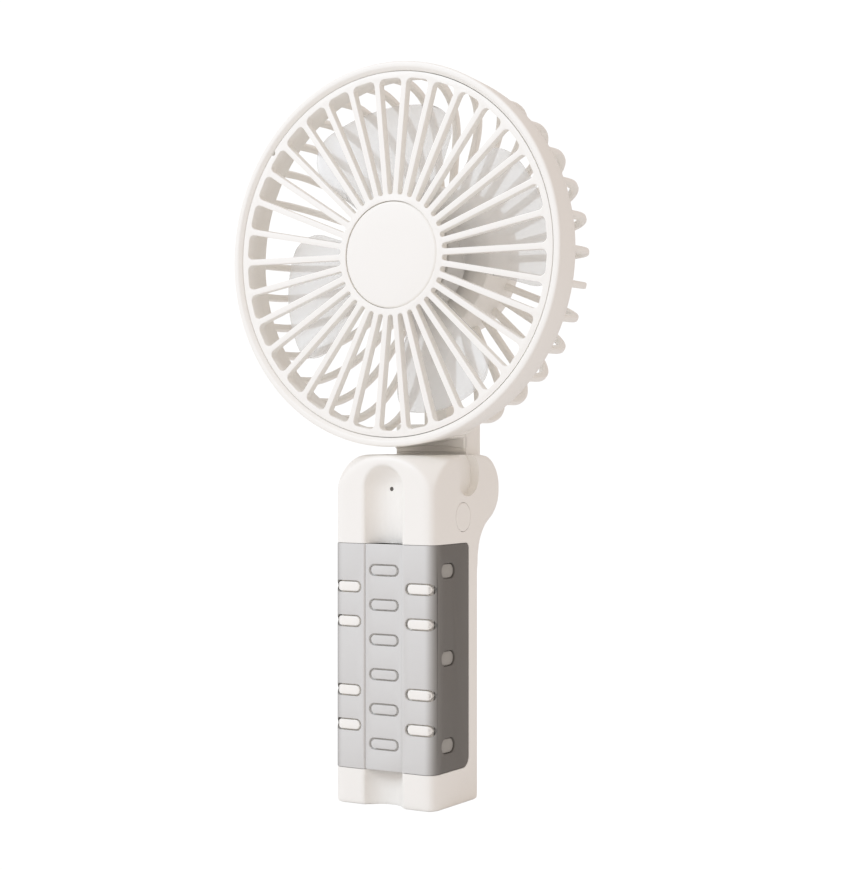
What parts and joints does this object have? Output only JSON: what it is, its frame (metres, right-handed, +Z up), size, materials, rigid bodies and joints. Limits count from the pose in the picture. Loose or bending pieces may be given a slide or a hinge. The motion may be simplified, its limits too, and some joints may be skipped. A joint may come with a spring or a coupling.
{
  "type": "handheld electric fan",
  "caption": "Rechargeable handheld fan with a round ribbed head that tilts back on a knuckle hinge above a slim grooved handle with a soft inlaid grip.",
  "frame": {"origin": "centre of the flat face under the handle", "axes": "+Z up along the handle, front lip of the head towards -Y, power button towards +X"},
  "size_m": [0.105, 0.0393, 0.2027],
  "materials": {
    "cream_plastic": "satin moulded plastic, warm ivory",
    "grip_silicone": "soft matte silicone, warm grey",
    "blade_plastic": "translucent milky plastic",
    "steel": "plain bright steel",
    "laminated_steel": "stacked sheet steel",
    "copper": "enamelled and bare copper",
    "bronze": "sintered bronze",
    "magnet_ferrite": "dark ferrite",
    "motor_plastic": "natural nylon",
    "board_laminate": "green circuit board",
    "chip_black": "black moulding compound",
    "clear_plastic": "clear moulded plastic",
    "cell_foil": "foil pouch",
    "foam": "soft black foam",
    "wire_red": "red wire insulation",
    "wire_black": "black wire insulation"
  },
  "bodies": {
    "handle": {"handle_body": "cream_plastic", "handle_back": "cream_plastic", "handle_screws": "steel", "grip_sleeve": "grip_silicone", "button_switch": "steel", "main_board": "board_laminate", "board_chips": "chip_black", "board_screws": "steel", "indicator_led": "clear_plastic", "light_pipe": "clear_plastic", "battery_cell": "cell_foil", "battery_pad": "foam", "battery_leads": "wire_red", "charge_board": "board_laminate", "charging_socket": "steel", "charge_leads": "wire_red", "motor_leads": "wire_black", "friction_washers": "steel"},
    "button": {"power_button": "cream_plastic"},
    "plunger": {"switch_plunger": "chip_black"},
    "head": {"hinge_pin": "steel", "rear_cage": "cream_plastic", "neck_cover": "cream_plastic", "neck_screws": "steel", "motor_cover": "cream_plastic", "drum_shell": "cream_plastic", "front_grille": "cream_plastic", "grille_cap": "cream_plastic", "motor_can": "steel", "motor_end_cap": "motor_plastic", "motor_magnets": "magnet_ferrite", "motor_brushes": "copper", "motor_bushes": "bronze", "motor_terminals": "copper", "motor_screws": "steel", "motor_wires": "wire_black"},
    "rotor": {"impeller": "blade_plastic", "motor_shaft": "steel", "armature_core": "laminated_steel", "armature_coils": "copper", "commutator": "copper"}
  },
  "joints": [
    {"name": "head_tilt", "type": "hinge", "parent": "handle", "child": "head", "pos_m": [0, 0.015, 0.086], "axis": [-1, 0, 0], "range_deg": [0, 90]},
    {"name": "impeller_spin", "type": "hinge", "parent": "head", "child": "rotor", "pos_m": [0, -0.0096, 0.1502], "axis": [0, 1, 0], "continuous": true},
    {"name": "button_press", "type": "slide", "parent": "handle", "child": "button", "axis": [-1, 0, 0], "range_m": [0, 0.0004], "stiffness_N_per_m": 1500},
    {"name": "plunger_press", "type": "slide", "parent": "handle", "child": "plunger", "axis": [-1, 0, 0], "range_m": [0, 0.0004]}
  ],
  "couplings": [
    {"joint": "plunger_press", "follows": "button_press", "ratio": 1}
  ]
}
